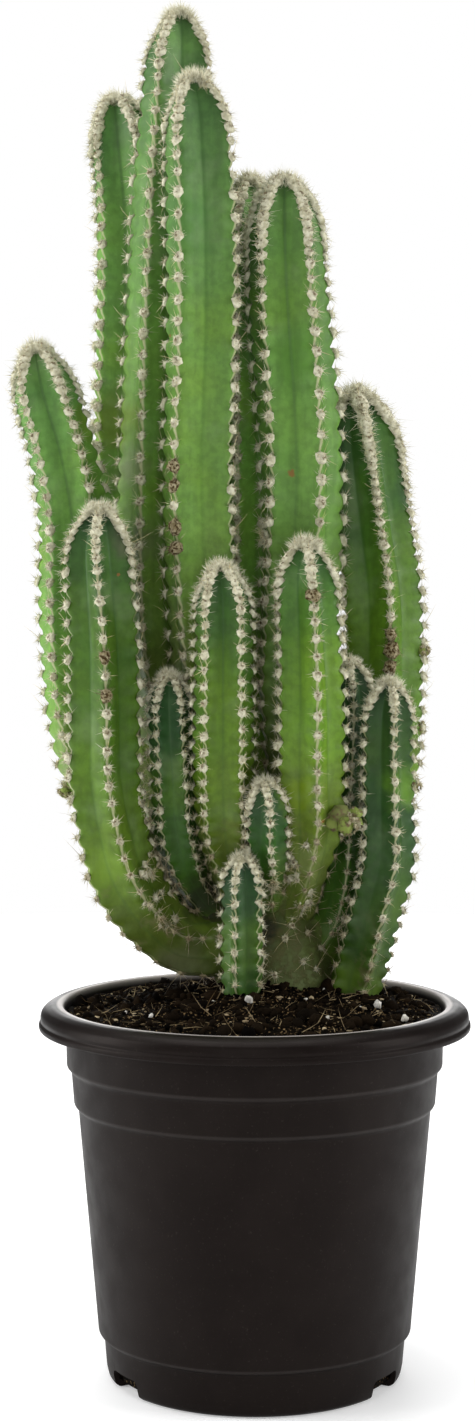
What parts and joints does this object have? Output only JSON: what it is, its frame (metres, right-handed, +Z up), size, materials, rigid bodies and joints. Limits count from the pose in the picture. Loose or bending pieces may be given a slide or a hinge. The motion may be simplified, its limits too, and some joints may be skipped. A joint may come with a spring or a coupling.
{
  "type": "potted fairy castle cactus",
  "caption": "Clump of upright ribbed columnar cactus stems with woolly areoles and fine spines, on a woody base in a round black plastic grower's pot filled with peat.",
  "frame": {"origin": "on the surface that the pot stands on, under the middle of the whole part's footprint", "axes": "+Z up along the stems, +X to the right and +Y away from the front that the picture shows"},
  "size_m": [0.1216, 0.1189, 0.3572],
  "materials": {
    "pot_plastic": "satin black-brown moulded plastic",
    "peat": "damp near-black peat",
    "bark": "dull olive-brown corky skin",
    "old_skin": "waxy mid-green skin",
    "young_skin": "waxy dark blue-green skin"
  },
  "bodies": {
    "root": {"pot": "pot_plastic", "soil": "peat", "woody_base": "bark", "tall_back_stem": "old_skin", "tall_front_stem": "old_skin", "left_back_stem": "old_skin", "right_tall_stem": "old_skin", "centre_back_stem": "old_skin", "left_outer_stem": "old_skin", "left_front_stem": "old_skin", "right_outer_stem": "old_skin", "right_front_stem": "young_skin", "right_inner_stem": "young_skin", "middle_right_stem": "old_skin", "middle_stem": "old_skin", "middle_left_stem": "young_skin", "small_centre_stem": "young_skin", "small_front_stem": "young_skin", "bud_stem": "young_skin"}
  },
  "joints": []
}
